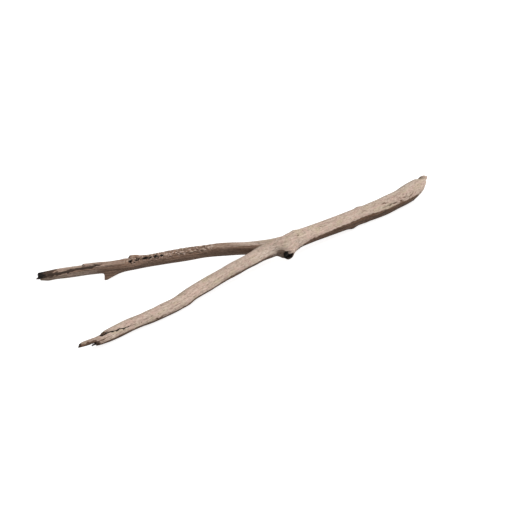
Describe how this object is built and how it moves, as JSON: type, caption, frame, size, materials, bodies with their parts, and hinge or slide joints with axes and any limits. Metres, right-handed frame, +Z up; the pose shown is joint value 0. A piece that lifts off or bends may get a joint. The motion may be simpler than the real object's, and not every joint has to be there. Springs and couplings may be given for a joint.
{
  "type": "forked driftwood branch",
  "caption": "Slender forked branch of weathered, bark-free driftwood with a hollow knot stub, a snag and splintered ends, lying on a surface.",
  "frame": {"origin": "middle of the footprint, on the surface that the branch lies on", "axes": "+X along the stem towards its broken tip, +Y towards the far limb's side, +Z up from the surface"},
  "size_m": [0.9706, 0.3233, 0.0496],
  "materials": {
    "bleached_wood": "bare, sun-bleached and weathered, matt",
    "gnawed_wood": "bare, darker, insect-gnawed and weathered, matt"
  },
  "bodies": {
    "root": {"stem": "bleached_wood", "near_limb": "bleached_wood", "far_limb": "gnawed_wood"}
  },
  "joints": []
}
